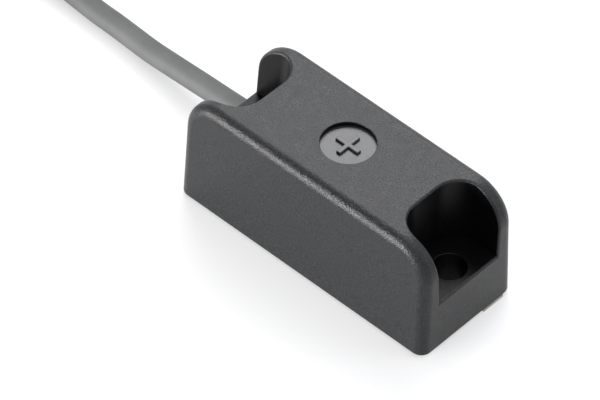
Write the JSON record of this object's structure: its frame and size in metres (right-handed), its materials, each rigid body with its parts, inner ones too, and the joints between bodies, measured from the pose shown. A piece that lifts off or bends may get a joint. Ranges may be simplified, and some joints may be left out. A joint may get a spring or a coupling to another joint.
{
  "type": "door contact sensor",
  "caption": "Small screw-on door contact sensor: potted reed switch in a black plastic housing with a screw recess at each end and a fixed grey cable.",
  "frame": {"origin": "middle of the mounting face, on the surface that the sensor is screwed to", "axes": "+X along the housing, away from the cable; +Y across it, towards the side that the cable leaves on; +Z away from the mounting face"},
  "size_m": [0.1319, 0.0245, 0.0154],
  "materials": {
    "housing_plastic": "black glass-filled plastic, spark-eroded mould texture, satin",
    "cover_plastic": "dark grey-brown plastic, plain moulded",
    "board_laminate": "green lacquered glass-fibre laminate",
    "capsule_glass": "clear pale green fused glass",
    "reed_alloy": "nickel-iron strip, bright",
    "resistor_coat": "beige lacquer coating",
    "tinned_wire": "tinned copper wire",
    "solder": "tin solder, bright",
    "resin": "black polyurethane casting resin, glossy where poured",
    "seal_rubber": "black moulded rubber",
    "cable_pvc": "grey extruded PVC, fine matte",
    "white_pvc": "white PVC core insulation",
    "brown_pvc": "brown PVC core insulation",
    "yellow_pvc": "yellow PVC core insulation",
    "green_pvc": "green PVC core insulation",
    "tie_nylon": "black nylon strap"
  },
  "bodies": {
    "sensor": {"housing": "housing_plastic", "base_cover": "cover_plastic", "circuit_board": "board_laminate", "reed_glass": "capsule_glass", "fixed_reed": "reed_alloy", "reed_lead": "reed_alloy", "resistor_body": "resistor_coat", "resistor_leads": "tinned_wire", "solder_joints": "solder", "potting_resin": "resin", "cable_seal": "seal_rubber", "cable_entry": "cable_pvc", "core_white": "white_pvc", "core_brown": "brown_pvc", "core_yellow": "yellow_pvc", "core_green": "green_pvc", "cable": "cable_pvc", "cable_hank": "cable_pvc", "hank_tie": "tie_nylon", "cable_tail": "cable_pvc", "end_white": "white_pvc", "end_brown": "brown_pvc", "end_yellow": "yellow_pvc", "end_green": "green_pvc", "core_tips": "tinned_wire"},
    "reed_blade": {"moving_reed": "reed_alloy"}
  },
  "joints": [
    {"name": "reed_closes", "type": "hinge", "parent": "sensor", "child": "reed_blade", "pos_m": [0.0046, 0, 0.01056], "axis": [0, 1, 0], "range_deg": [0, 1.9], "stiffness_Nm_per_rad": 0.00002}
  ]
}
